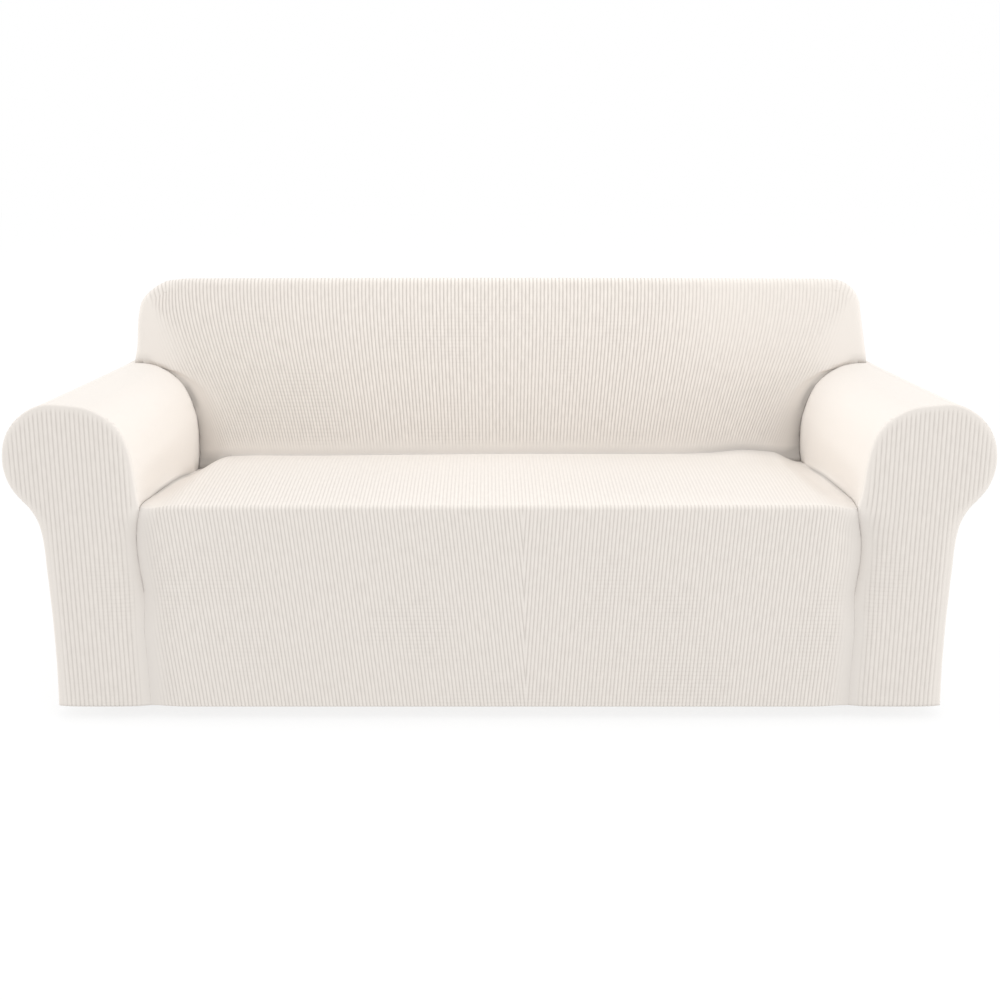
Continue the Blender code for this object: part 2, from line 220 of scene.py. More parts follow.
# Seat
SEAT_SIDE = table(
    "depth x z",
    (0.010, 0.750, 0.470),
    (0.080, 0.758, 0.466),
    (0.150, 0.761, 0.461),
    (0.220, 0.762, 0.456),
    (0.300, 0.763, 0.450),
    (0.380, 0.764, 0.443),
    (0.460, 0.765, 0.434),
    (0.530, 0.765, 0.429),
    (0.579, 0.765, 0.426),
)
SEAT_REAR_DEPTH = 0.584
SEAT_REAR_Z = 0.460
SEAT_FOOT_Z = 0.460  # mean height of the crease along the foot of the back
FOOT_LINE = table(
    "x z",
    (-0.760, 0.458),
    (-0.500, 0.456),
    (-0.250, 0.458),
    (0.000, 0.460),
    (0.250, 0.460),
    (0.450, 0.461),
    (0.530, 0.468),
    (0.610, 0.478),
    (0.690, 0.472),
    (0.760, 0.464),
)
DEEP_ON_RIGHT = (0.42, 0.62)  # where that crease gets deep, from the middle to each arm
DEEP_ON_LEFT = (0.60, 0.72)
LEFT_DEPTH = 0.4  # how deep it is on the left, against the right
SEAT_FRONT_Z = 0.480
SEAT_CROWN = 0.006
NOSE_RADIUS = 0.010
FOOT_RISES_FROM = 0.75  # share of the seat's depth behind which it follows the foot's line
NOSE_SEAM_FALL = 0.012  # how far the side seam falls while the cloth turns over the nose
FRONT_FLARE = 0.004
SEAT_STEPS = 22  # mesh rows over the seat, round its nose and down the front
NOSE_STEPS = 6
FRONT_STEPS = 31
SIDE_FILLET = 0.085  # how far from their side seams the seat, the front and the back start to bend
DIMPLE_DEPTH = 0.007  # soft dip beside the right arm
DIMPLE_WIDTH = 0.050
DIMPLE_FROM = Vector((0.690, 0.510))
DIMPLE_TO = Vector((0.735, 0.170))

# Back
LEAN = math.tan(math.radians(13.5))
BACK_ROUND = 0.025
BACK_SQUARENESS = 0.6  # 1 rounds the back's rim as a circle, less makes it squarer
BACK_CORNER_RADIUS = 0.075
BACK_CORNER_X = 0.838
BACK_CORNER_Z = 0.812
BACK_SIDE_STEPS = 10  # mesh rows up the back's side, and round its corner
BACK_CORNER_STEPS = 12
BACK_TOP_Z = BACK_CORNER_Z + BACK_CORNER_RADIUS
BACK_TOP_CROWN = 0.002
BACK_TOP_FALL = 0.022
BACK_PILLOW = 0.008
REAR_HOLLOW = 0.004

# Places where the cover lies a little unevenly: all the cloth within reach is shifted softly
SETTLED_LIMIT = 3  # in reaches
SETTLED = table(
    "place reach shift",
    ((-0.875, 0.700, 0.870), (0.050, 0.500, 0.050), (0.011, 0.0, -0.006)),
    ((-0.915, 0.700, 0.715), (0.050, 0.400, 0.055), (0.008, 0.0, 0.0)),
    ((0.755, 0.380, 0.440), (0.060, 0.280, 0.050), (0.0, 0.0, 0.009)),
    ((0.752, 0.010, 0.435), (0.040, 0.060, 0.050), (-0.006, 0.0, 0.001)),
    ((-0.765, 0.580, 0.435), (0.050, 0.180, 0.050), (0.0, 0.0, -0.007)),
    ((0.765, 0.600, 0.435), (0.050, 0.120, 0.050), (0.0, 0.0, 0.008)),
    ((-0.752, 0.040, 0.470), (0.030, 0.060, 0.030), (0.0, 0.0, 0.004)),
)

REAR_EDGE = DEPTH - CLOTH
FRONT_RIM = ARM_FRONT_DOME
ARM_START = FRONT_RIM + RIM_ROLL
QUARTER_TURN = math.radians(90)

# The floor frame's origin, from the model's hem and its rear face
hem_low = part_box("outside_back")[0].z
rear_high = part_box("outside_back")[1].y
TO_MODEL = Vector((0, rear_high - DEPTH, hem_low - HEM_Z))

# A place on a panel: the rib's number across it, the length along it from the hem or the lower seam,
# how far the ribs show there, and how much painted shade it has. 1 is plain relief, and a seam's painted
# shade.
Place = namedtuple("Place", "point rib along raised creased")


def smooth_step(value, low, high):
    """0 below low, 1 above high, and a smooth rise between them."""
    share = min(max((value - low) / (high - low), 0.0), 1.0)
    return share * share * (3 - 2 * share)


def mix(first, second, share):
    return first + (second - first) * share


def swell(place, flatness):
    """1 in a panel's middle (place 0) and 0 at its rim (place -1 or 1), flatter for a larger flatness."""
    return 1 - abs(place) ** flatness


def tuck(distance, reach=TUCK_REACH):
    """1 on a seam and 0 where the cloth starts to turn into it."""
    return max(1 - distance / reach, 0.0) ** 2


def spread(low, high, count, crowding_low=1.0, crowding_high=1.0):
    """count + 1 numbers from low to high, closer together at an end with crowding above 1."""
    numbers = []
    for step in range(count + 1):
        share = step / count
        from_low = share ** crowding_low
        from_high = 1 - (1 - share) ** crowding_high
        numbers.append(mix(low, high, mix(from_low, from_high, share)))
    return numbers


def smooth_path(points, steps):
    """A smooth curve through points, with steps to each stretch between two of them."""
    path = [points[0].copy()]
    for index in range(len(points) - 1):
        start = points[index]
        end = points[index + 1]
        before = points[index - 1] if index else start - (end - start)
        after = points[index + 2] if index + 2 < len(points) else end + (end - start)
        reach = (end - start).length / 3
        first_handle = start + (end - before).normalized() * reach
        second_handle = end - (after - start).normalized() * reach
        path += interpolate_bezier(start, first_handle, second_handle, end, steps + 1)[1:]
    return path


class Reading:
    """A smooth curve through a table's rows, read at any value of one of its columns."""

    STEPS = 24

    def __init__(self, keys, values):
        points = [Vector((key, value)) for key, value in zip(keys, values)]
        self.path = smooth_path(points, self.STEPS)

    def __call__(self, key):
        low = 0
        high = len(self.path) - 1
        while high - low > 1:
            middle = (low + high) // 2
            if self.path[middle].x <= key:
                low = middle
            else:
                high = middle
        start = self.path[low]
        end = self.path[high]
        share = (key - start.x) / max(end.x - start.x, 1e-9)
        return mix(start.y, end.y, min(max(share, 0.0), 1.0))


def column_of(rows, name):
    return [row[name] for row in rows]


# Seam lines, on the right-hand side


CROTCH_Z = ARM_ROWS[CROTCH_ROW]["z"]
LOWER_ROWS = ARM_ROWS[:CROTCH_ROW + 1]
front_inner = Reading(column_of(LOWER_ROWS, "z"), column_of(LOWER_ROWS, "inner"))
seat_side_x = Reading(column_of(SEAT_SIDE, "depth"), column_of(SEAT_SIDE, "x"))
seat_side_z = Reading(column_of(SEAT_SIDE, "depth"), column_of(SEAT_SIDE, "z"))


def crease_depth(z):
    """Depth of the seam between the arm front and the front of the seat."""
    sinking = smooth_step(CROTCH_Z - z, 0.0, CROTCH_Z - CREASE_Z)
    creased = smooth_step(z, CREASE_ENDS_AT, CREASE_FADES_FROM)
    return FRONT_RIM + sinking * mix(VALLEY_DEPTH, CREASE_DEPTH, creased)


def crease_sharpness(z):
    """1 where the seam beside the front of the seat is a crease, 0 where it is a plain valley."""
    return smooth_step(z, CREASE_BLUNT_AT, CREASE_FADES_FROM)


def painted_valley_shade(z, from_seam):
    """Painted shade beside the seam between an arm front and the front of the seat."""
    begun = smooth_step(CROTCH_Z - z, 0.0, VALLEY_START)
    return VALLEY_SHADE * (tuck(from_seam, VALLEY_SHADE_REACH) * begun)


def seat_side_seam(depth):
    return Vector((seat_side_x(depth), depth, seat_side_z(depth)))


def seam_rise(depth, from_seam):
    """How far the cloth near the seam between the seat and an arm lies above a sharp crease there."""
    between = smooth_step(depth, *SEAM_ROUND_GROWS) * (1 - smooth_step(depth, *SEAM_ROUND_ENDS))
    return SEAM_ROUND * between * math.exp(-from_seam / SEAM_ROUND_REACH)


def half_way_up(z):
    """1 half-way up the roll of an arm, 0 near the seat and near the roll's top."""
    return smooth_step(z, *ROLL_LOWER_HALF) * (1 - smooth_step(z, *ROLL_UPPER_HALF))


def painted_seam_shade(depth, from_seam):
    """Painted shade beside the seam between the seat and an arm: in the crease, and around it."""
    around = mix(SIDE_SHADE_FRONT, SIDE_SHADE_REAR, smooth_step(depth, *SEAM_ROUND_GROWS))
    around *= tuck(from_seam, SIDE_SHADE_REACH)
    inside = SIDE_LINE * smooth_step(depth, *SIDE_LINE_GROWS) * (1 - smooth_step(depth, *SIDE_LINE_ENDS))
    inside *= 1 - smooth_step(from_seam, *SIDE_LINE_EDGE)
    return max(around, inside)


def roll_settled(x, z, depth):
    """A point of the arm's outline at a depth, where the roll is lower and narrower than at its front."""
    settling = min(depth / ARM_ROWS[TOP_ROW]["rear_depth"], 1.0) ** ROLL_SETTLING
    settling *= smooth_step(z, ARM_ROWS[CROTCH_ROW - 1]["z"], ROLL_FULL_Z)
    outer_share = smooth_step(x, ARM_ROWS[TOP_ROW]["outer"], max(column_of(ARM_ROWS, "outer")))
    return Vector((x - ROLL_TAPER * settling * outer_share, depth, z - ROLL_FALL * settling))


STATION_STEPS = 4  # mesh rows to each stretch of the arm's outline
SHOULDER_STEPS = 3  # stretches in which the outline turns round the rim of the back


def arm_outline():
    """Stations of the arm's outline from the seat, up over the roll and down to the hem.

    Each is a dict: its place at the front (x, z), its place at the inside back, or at the rear edge on
    the arm's outer side (rear, depth), and its length from the seat. Also gives the number of the
    station where the arm's edge turns from the inside back to the rear.
    """
    top = ARM_ROWS[TOP_ROW]
    front = []
    rear = []
    for row in ARM_ROWS[CROTCH_ROW:]:
        front.append(Vector((row["inner"], 0, row["z"])))
        rear.append(Vector((row["rear"], row["rear_depth"], row["z"])))
    for step in range(1, SHOULDER_STEPS + 1):
        angle = QUARTER_TURN * step / SHOULDER_STEPS
        x = top["inner"] + BACK_ROUND * math.sin(angle)
        front.append(Vector((x, 0, top["z"])))
        rear.append(Vector((x, top["rear_depth"] + BACK_ROUND * (1 - math.cos(angle)), top["z"])))
    corner = (len(front) - 1) * STATION_STEPS
    for row in reversed(ARM_ROWS[:TOP_ROW]):
        front.append(Vector((row["outer"], 0, row["z"])))
    stations = []
    fronts = smooth_path(front, STATION_STEPS)
    rears = smooth_path(rear, STATION_STEPS)
    length = 0.0
    for index, place in enumerate(fronts):
        if index:
            length += (place - fronts[index - 1]).length
        inside = index <= corner
        end = rears[index] if inside else Vector((place.x, REAR_EDGE, place.z))
        stations.append(dict(x=place.x, z=place.z, rear=end.x, depth=end.y, length=length))
        if index == corner:
            stations.append(dict(x=place.x, z=place.z, rear=place.x, depth=REAR_EDGE, length=length))
    return stations, corner


STATIONS, CORNER_STATION = arm_outline()
TOP_STATION = (TOP_ROW - CROTCH_ROW) * STATION_STEPS  # where the back's face meets the roll's top


def arm_point(station, depth):
    """Point of the right arm at a station of its outline and a depth."""
    place = STATIONS[station]
    x = place["x"]
    if station <= CORNER_STATION:
        x = mix(place["x"], place["rear"], smooth_step(depth, ARM_NARROWS_FROM, place["depth"]))
    point = roll_settled(x, place["z"], depth)
    start = STATIONS[0]
    near_seat = 1 - smooth_step(place["z"], start["z"], start["z"] + ARM_SEAT_REACH)
    if station <= CORNER_STATION and near_seat:
        along = min(depth, start["depth"])
        seam = seat_side_seam(along)
        plain = mix(start["x"], start["rear"], smooth_step(along, ARM_NARROWS_FROM, start["depth"]))
        point += Vector((seam.x - plain, 0, seam.z - start["z"])) * near_seat
    return point


def roll_turn(station):
    """How far the rear edge of an arm's roll turns in, half-way up it, where it meets the inside back."""
    ahead = STATIONS[station + 1]
    behind = STATIONS[max(station - 1, 0)]
    run = Vector((ahead["x"] - behind["x"], 0, ahead["z"] - behind["z"])).normalized()
    return Vector((run.z, 0, -run.x)) * ROLL_TUCK * half_way_up(STATIONS[station]["z"])


def back_face_depth(z):
    return SEAT_REAR_DEPTH + (z - SEAT_REAR_Z) * LEAN


def back_rim():
    """Right-hand edge of the back's face above the arm, up round the corner to the top."""
    corner = BACK_CORNER_RADIUS - BACK_ROUND
    low = arm_point(TOP_STATION, STATIONS[TOP_STATION]["depth"])
    high = Vector((BACK_CORNER_X + corner, 0, BACK_CORNER_Z))
    rim = [low.lerp(high, step / BACK_SIDE_STEPS) for step in range(1, BACK_SIDE_STEPS)]
    for step in range(BACK_CORNER_STEPS + 1):
        angle = QUARTER_TURN * step / BACK_CORNER_STEPS
        turned = Vector((math.cos(angle), 0, math.sin(angle))) * corner
        rim.append(Vector((BACK_CORNER_X, 0, BACK_CORNER_Z)) + turned)
    for point in rim:
        point.y = back_face_depth(point.z)
    return rim


def outward(point):
    """Direction from the back's face to its rounded rim, seen from the front."""
    sideways = max(abs(point.x) - BACK_CORNER_X, 0.0)
    upwards = max(point.z - BACK_CORNER_Z, 0.0)
    return Vector((math.copysign(sideways, point.x), 0, upwards)).normalized()


def round_the_rim(way, turned):
    """From the rim of the back's face to a point turned (0 to 1) round it, outward along way."""
    angle = QUARTER_TURN * turned
    out = math.sin(angle) ** BACK_SQUARENESS
    rearward = 1 - max(math.cos(angle), 0.0) ** BACK_SQUARENESS
    lean = LEAN * way.z
    return way * BACK_ROUND * out + Vector((0, mix(rearward, out, lean), 0)) * BACK_ROUND


def wrapped(point, step, round_steps, flat_steps):
    """The next point on the way from the face of the back round its rim to the rear."""
    if step < round_steps:
        way = outward(point)
        before = round_the_rim(way, step / round_steps)
        return point + round_the_rim(way, (step + 1) / round_steps) - before
    fall = BACK_TOP_FALL * smooth_step(point.z, ARM_ROWS[TOP_ROW]["z"], BACK_TOP_Z)
    steps_left = round_steps + flat_steps - step
    return Vector((point.x, point.y + (REAR_EDGE - point.y) / steps_left, point.z - fall / flat_steps))


# Making panels

SAME_PLACE = 2e-6  # points this close are one
SMALLEST_FACE = 1e-11  # square metres
NARROWEST = 1e-6


def cloth_grid(columns, rows, place):
    """A bmesh of quads whose corner at (column, row) is at place(column, row), without empty quads."""
    mesh = bmesh.new()
    for name in ("rib", "along", "raised", "creased", "smooth"):
        mesh.verts.layers.float.new(name)
    mesh.loops.layers.uv.new("cloth")
    bmesh.ops.create_grid(mesh, x_segments=columns, y_segments=rows, size=0.5)
    for corner in mesh.verts:
        column = round((corner.co.x + 0.5) * columns)
        row = round((corner.co.y + 0.5) * rows)
        here = place(column, row)
        corner.co = here.point
        for name in ("rib", "along", "raised", "creased"):
            corner[mesh.verts.layers.float[name]] = getattr(here, name)
    empty = [face for face in mesh.faces if face.calc_area() < SMALLEST_FACE]
    bmesh.ops.delete(mesh, geom=empty, context="FACES")
    bmesh.ops.remove_doubles(mesh, verts=mesh.verts, dist=SAME_PLACE)
    return mesh


def extrude_edges(mesh, edges, step_count, move):
    """Extrudes edges step_count times. move(corner, step) moves each new point."""
    for step in range(step_count):
        made = bmesh.ops.extrude_edge_only(mesh, edges=edges)["geom"]
        for corner in [item for item in made if isinstance(item, bmesh.types.BMVert)]:
            move(corner, step)
        edges = [item for item in made if isinstance(item, bmesh.types.BMEdge)]


def face_like(mesh, direction):
    """Turns the panel round if its faces point away from direction on the whole."""
    total = sum((face.normal * face.calc_area() for face in mesh.faces), Vector())
    if total.dot(direction) < 0:
        bmesh.ops.reverse_faces(mesh, faces=mesh.faces)
    mesh.normal_update()


def raise_ribs(mesh):
    """Moves the points out by the ribs' relief, apart from those marked smooth, which have bumps alone."""
    rib = mesh.verts.layers.float["rib"]
    raised = mesh.verts.layers.float["raised"]
    smooth = mesh.verts.layers.float["smooth"]
    lifted = []
    for corner in mesh.verts:
        height = RIB_RELIEF * corner[raised] * abs(math.sin(math.pi * corner[rib])) * (1 - corner[smooth])
        lifted.append(corner.co + corner.normal * height)
    for corner, point in zip(mesh.verts, lifted):
        corner.co = point


def settled(point):
    """Where a point of the cover goes by the shifts of SETTLED."""
    shift = Vector()
    for soft in SETTLED:
        offsets = zip(point, soft["place"], soft["reach"])
        away = sum(((here - there) / reach) ** 2 for here, there, reach in offsets)
        if away < SETTLED_LIMIT ** 2:
            shift += Vector(soft["shift"]) * math.exp(-away)
    return point + shift


def finish_panel(mesh, name, facing):
    """Makes the object of a panel's outer face and gives it its thickness on the inner side."""
    mesh.normal_update()
    face_like(mesh, facing)
    raise_ribs(mesh)
    rib = mesh.verts.layers.float["rib"]
    along = mesh.verts.layers.float["along"]
    cloth_map = mesh.loops.layers.uv["cloth"]
    for face in mesh.faces:
        for loop in face.loops:
            loop[cloth_map].uv = (loop.vert[rib], loop.vert[along])
    for corner in mesh.verts:
        corner.co = settled(corner.co)
    bmesh.ops.translate(mesh, verts=mesh.verts, vec=TO_MODEL)
    data = bpy.data.meshes.new(name + "_cloth")
    mesh.to_mesh(data)
    mesh.free()
    data.shade_smooth()
    data.materials.append(KNIT)
    panel = bpy.data.objects.new(name + "_cloth", data)
    bpy.context.scene.collection.objects.link(panel)
    thickness = panel.modifiers.new("cloth", "SOLIDIFY")
    thickness.thickness = CLOTH
    thickness.offset = -1
    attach(panel, "root")
    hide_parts(name)


def hem_swell(height):
    """How far the turned-up hem stands out at a height above the cover's edge."""
    return HEM_SWELL * (1 - smooth_step(height, *HEM_EDGE))


# The panels


def seat_rows():
    """Rows of the seat and front from the rear crease to the hem.

    Each is a dict: the middle of the row, its seam with the arm (right-hand side), its share of the way
    to the seat's rear, how far it is below the nose, and the length from the hem.
    """
    rows = []
    for share in spread(1.0, 0.0, SEAT_STEPS, crowding_low=1.6):
        depth = mix(NOSE_RADIUS - FRONT_FLARE, SEAT_REAR_DEPTH, share)
        z = mix(SEAT_FRONT_Z, SEAT_FOOT_Z, share) + SEAT_CROWN * swell(2 * share - 1, 2)
        seam = seat_side_seam(mix(ARM_START, SEAT_SIDE[-1]["depth"], share))
        rows.append(dict(middle=Vector((0, depth, z)), seam=seam, share=share, drop=0.0))
    top = rows[-1]["middle"]
    for step in range(1, NOSE_STEPS + 1):
        angle = QUARTER_TURN * step / NOSE_STEPS
        turned = Vector((0, -math.sin(angle), math.cos(angle) - 1)) * NOSE_RADIUS
        z = CROTCH_Z - NOSE_SEAM_FALL * step / NOSE_STEPS
        seam = Vector((front_inner(z), crease_depth(z), z))
        rows.append(dict(middle=top + turned, seam=seam, share=0.0, drop=0.0))
    nose = rows[-1]["middle"]
    start_z = CROTCH_Z - NOSE_SEAM_FALL
    for share in spread(0.0, 1.0, FRONT_STEPS, crowding_high=1.5)[1:]:
        z = mix(start_z, HEM_Z, share)
        seam = Vector((front_inner(z), crease_depth(z), z))
        middle = Vector((0, mix(nose.y, 0.0, share), mix(nose.z, HEM_Z, share)))
        rows.append(dict(middle=middle, seam=seam, share=0.0, drop=nose.z - middle.z))
    length = 0.0
    for index in range(len(rows) - 1, -1, -1):
        if index < len(rows) - 1:
            length += (rows[index]["middle"] - rows[index + 1]["middle"]).length
        rows[index]["along"] = length
    return rows


def side_pull(x, edge):
    """How far the cloth has bent towards its side seam at edge: 0 in the middle and 1 on the seam."""
    return smooth_step(abs(x), edge - SIDE_FILLET, edge)


def foot_crease(x):
    """How deep the crease between the seat and the back is: plain in the middle, deeper near the arms."""
    return smooth_step(x, *DEEP_ON_RIGHT) + LEFT_DEPTH * smooth_step(-x, *DEEP_ON_LEFT)


foot_line = Reading(column_of(FOOT_LINE, "x"), column_of(FOOT_LINE, "z"))


def foot_rise(x):
    return foot_line(x) - SEAT_FOOT_Z


def foot_tuck(x):
    return SEAT_TUCK * foot_crease(x)


def back_tuck_depth(z):
    """How deep the crease between the arm and the inside back is at a height: softer over the roll."""
    return BACK_TUCK * mix(BACK_TUCK_LOW, BACK_TUCK_HIGH, smooth_step(z, *BACK_TUCK_EASES))


def seat_dip(x, depth):
    """How far the seat's top sinks in the soft dip beside the right arm."""
    run = DIMPLE_TO - DIMPLE_FROM
    place = Vector((x, depth)) - DIMPLE_FROM
    share = min(max(place.dot(run) / run.length_squared, 0.0), 1.0)
    away = (place - run * share).length / DIMPLE_WIDTH
    return DIMPLE_DEPTH * math.exp(-away * away)


def seat_and_front():
    """Seat top that turns over the nose and falls to the hem."""
    rows = seat_rows()
    last = len(rows) - 1
    nose_row = next(index for index, row in enumerate(rows) if row["share"] == 0.0)
    half_width = SEAT_SIDE[-1]["x"]
    widest_drop = rows[last]["drop"] * (CHEVRON_LEAN + CHEVRON_TILT)
    left_ribs = math.ceil((half_width + CHEVRON_X + widest_drop) / FRONT_RIB)
    right_ribs = math.ceil((half_width - CHEVRON_X + widest_drop) / FRONT_RIB)

    def place(column, index):
        row = rows[last - index]
        middle = row["middle"]
        seam = row["seam"]
        rib = column / RIB_COLUMNS - left_ribs
        side = math.copysign(1, rib)
        middle_x = CHEVRON_X + CHEVRON_TILT * row["drop"]
        pitch = FRONT_RIB * (1 + SEAT_SPREAD * row["share"])
        away = max(abs(rib) * pitch - CHEVRON_LEAN * row["drop"], 0.0)
        edge = seam.x
        x = min(max(middle_x + side * away, -edge), edge)
        rib = (abs(x - middle_x) + CHEVRON_LEAN * row["drop"]) / pitch
        pull = side_pull(x, edge)
        point = Vector((x, mix(middle.y, seam.y, pull), mix(middle.z, seam.z, pull)))
        to_side = edge - abs(x)
        to_rear = SEAT_REAR_DEPTH - point.y
        side_tuck = tuck(to_side)
        if last - index <= nose_row:
            rear_tuck = tuck(to_rear, SEAT_TUCK_REACH) * (1 - pull)
            rise = foot_rise(x) * smooth_step(row["share"], FOOT_RISES_FROM, 1.0) * (1 - pull)
            point += Vector((0, LEAN, 1)) * rise
            dip = seat_dip(x, point.y) * smooth_step(to_rear, 0.0, SEAT_TUCK_REACH)
            dip *= smooth_step(to_side, 0.0, DIMPLE_WIDTH)
            point.z -= dip + foot_tuck(x) * rear_tuck
            point += Vector((-math.copysign(1, x), 0, 1)) * seam_rise(point.y, to_side)
            # painted shade in the side seam's crease and at the seat's rear, where the crease is deep
            creased = max(painted_seam_shade(point.y, to_side), REAR_SHADE * foot_crease(x) * math.sqrt(rear_tuck))
            from_foot = (1 - row["share"]) * SEAT_REAR_DEPTH
            point.y += back_tuck_depth(seam.z) * tuck(to_side, BACK_TUCK_REACH) * tuck(from_foot)
            raised = SEAT_BOLDNESS * smooth_step(to_side, *SEAT_FADE_SIDE)
            raised *= mix(SEAT_FAINT, 1.0, smooth_step(to_rear, *SEAT_FADE_REAR))
            on_right = mix(1.0, SEAT_FAINT, smooth_step(x, *SEAT_FADE_RIGHT))
            raised *= smooth_step(to_rear, *FADE_CREASE) * on_right
        else:
            sharp = crease_sharpness(point.z) if row["drop"] else 1.0
            point.y += SEAM_TUCK * side_tuck * sharp
            point.y -= hem_swell(point.z - HEM_Z)
            # painted shade in the crease and valley beside the arm fronts
            creased = max(CREASE_SHADE * side_tuck * sharp, painted_valley_shade(point.z, to_side))
            raised = smooth_step(to_side, *FADE_CREASE)
        return Place(point, rib, row["along"], raised, creased)

    mesh = cloth_grid((left_ribs + right_ribs) * RIB_COLUMNS, last, place)
    finish_panel(mesh, "seat_and_front", Vector((0, -1, 1)))


def back_rib_x(rib, z):
    """Where a rib of the inside back runs at a height: straight down from the top, then gathered inward."""
    top_x = rib * BACK_RIB
    gathered = 1 - (smooth_step(z, *BACK_FAN) - smooth_step(SEAT_REAR_Z, *BACK_FAN))
    return top_x * (1 - BACK_GATHER * gathered * (1 + BACK_GATHER_SIDE * (top_x / BACK_FAN_X) ** 2))


RIB_TRIES = 6
PLACE_TRIES = 3


def back_rib_at(x, z):
    """The rib that runs through a place of the inside back, found in a few tries, each nearer."""
    rib = x / BACK_RIB
    for _ in range(RIB_TRIES):
        rib += (x - back_rib_x(rib, z)) / BACK_RIB
    return rib


# How far from its side seam the inside back is plain, at these heights
PLAIN_HEIGHTS = (0.42, 0.55, 0.64, 0.72, 0.78, 0.84, 0.90)
plain_beside_arm = Reading(PLAIN_HEIGHTS, (0.050, 0.060, 0.085, 0.085, 0.050, 0.0, -0.040))
PLAIN_FADING = 0.65  # how far on both sides of that line the ribs fade, against its distance
PLAIN_LEAST = 0.020


def painted_shade_beside_arm(x, z, seam_z, to_side):
    """Painted shade on the inside back beside an arm, at a height, near the place seam_z of their seam."""
    at_corner = 1 - smooth_step(z, *CORNER_HEIGHTS)
    beside_roll = ROLL_LINE * (1 - smooth_step(to_side, *ROLL_LINE_EDGE))
    line = mix(beside_roll, CORNER_LINE * tuck(to_side, CORNER_LINE_REACH), at_corner)
    line = max(line, MIDDLE_LINE * half_way_up(seam_z) * (1 - smooth_step(to_side, *MIDDLE_LINE_EDGE)))
    around = mix(AROUND_ROLL, AROUND_CORNER, at_corner)
    around *= mix(1.0, AROUND_RIGHT, smooth_step(x, *AROUND_RIGHT_FROM))
    return line + around * tuck(to_side, AROUND_REACH)


def inside_back():
    """Inside back with its wrap over the top and round both sides."""
    stations = range(0, TOP_STATION + 1, 2)
    edge = [arm_point(station, STATIONS[station]["depth"]) + roll_turn(station) for station in stations]
    crest_z = edge[-1].z
    edge += back_rim()
    last = len(edge) - 1
    low = SEAT_FOOT_Z
    high = edge[last].z
    half_ribs = math.ceil(back_rib_at(max(point.x for point in edge), crest_z))

    def place(column, row):
        rib = column / RIB_COLUMNS - half_ribs
        seam = edge[row]
        level = mix(low, high, row / last)
        middle = low if row == 0 else (level + seam.z) / 2
        z = middle
        for _ in range(PLACE_TRIES):
            x = min(max(back_rib_x(rib, z), -seam.x), seam.x)
            z = mix(middle, seam.z, side_pull(x, seam.x))
        across = x / seam.x
        pull = side_pull(x, seam.x)
        rib = back_rib_at(x, z)
        if row == last:
            z += BACK_TOP_CROWN * swell(across, flatness=2)
        up = (z - low) / (high - low)
        pillow = BACK_PILLOW * swell(across, flatness=2) * swell(2 * up - 1, flatness=2)
        depth = back_face_depth(z) - pillow + (seam.y - back_face_depth(seam.z)) * pull
        rise = (foot_rise(x) - foot_tuck(x)) * max(1 - (z - low) / FOOT_HEIGHT, 0.0) * (1 - pull)
        if row == 0:
            rise -= FOOT_OVERLAP
        point = Vector((x, depth, z)) + Vector((0, LEAN, 1)) * rise
        to_side = seam.x - abs(x)
        along_arm = 1 - smooth_step(z, crest_z - 0.01, crest_z + 0.03)
        point.y += back_tuck_depth(seam.z) * tuck(to_side, BACK_TUCK_REACH) * along_arm
        plain = plain_beside_arm(z)
        fading = PLAIN_FADING * max(plain, PLAIN_LEAST)
        raised = smooth_step(z - low, *BACK_FADE_FOOT)
        raised *= smooth_step(to_side, plain - fading, plain + fading)
        outward_share = smooth_step(abs(x - BACK_BOLDEST_X), *BACK_FADE_SIDES)
        raised *= BACK_BOLDNESS * mix(1.0, BACK_FAINT_SIDES, outward_share)
        raised *= 1 - BACK_FAINT_CORNER * smooth_step(x, *BACK_FADE_RIGHT) * smooth_step(z, *BACK_FADE_UP)
        # painted shade beside the arms, above the rolls, along the foot and over the left of the back
        corner_shade = painted_shade_beside_arm(x, z, seam.z, to_side) * along_arm
        painted_shade_above_roll = tuck(max(z - crest_z, 0.0), ABOVE_ROLL_REACH) * smooth_step(abs(x), *ABOVE_ROLL_FROM)
        foot_shade = (FOOT_SHADE + DEEP_FOOT_SHADE * foot_crease(x)) * tuck(z - low, FOOT_SHADE_REACH)
        left_shade = LEFT_SHADE * smooth_step(-x, *LEFT_SHADE_FROM)
        creased = max(corner_shade, ABOVE_ROLL * painted_shade_above_roll, foot_shade, left_shade)
        return Place(point, rib + half_ribs, z - low, raised, creased)

    mesh = cloth_grid(2 * half_ribs * RIB_COLUMNS, last, place)
    wrap_back(mesh, crest_z)
    finish_panel(mesh, "inside_back", Vector((0, -1, 0)))


LEVEL_MARGIN = 1e-5
STRAIGHT = 0.9999  # a direction's part along an axis from which it counts as lying along it
WRAP_ROUND_STEPS = 8
WRAP_TOP_STEPS = 4
WRAP_SIDE_STEPS = 72
SMOOTH_CORNER = (BACK_CORNER_X - 0.04, BACK_CORNER_X - 0.01)


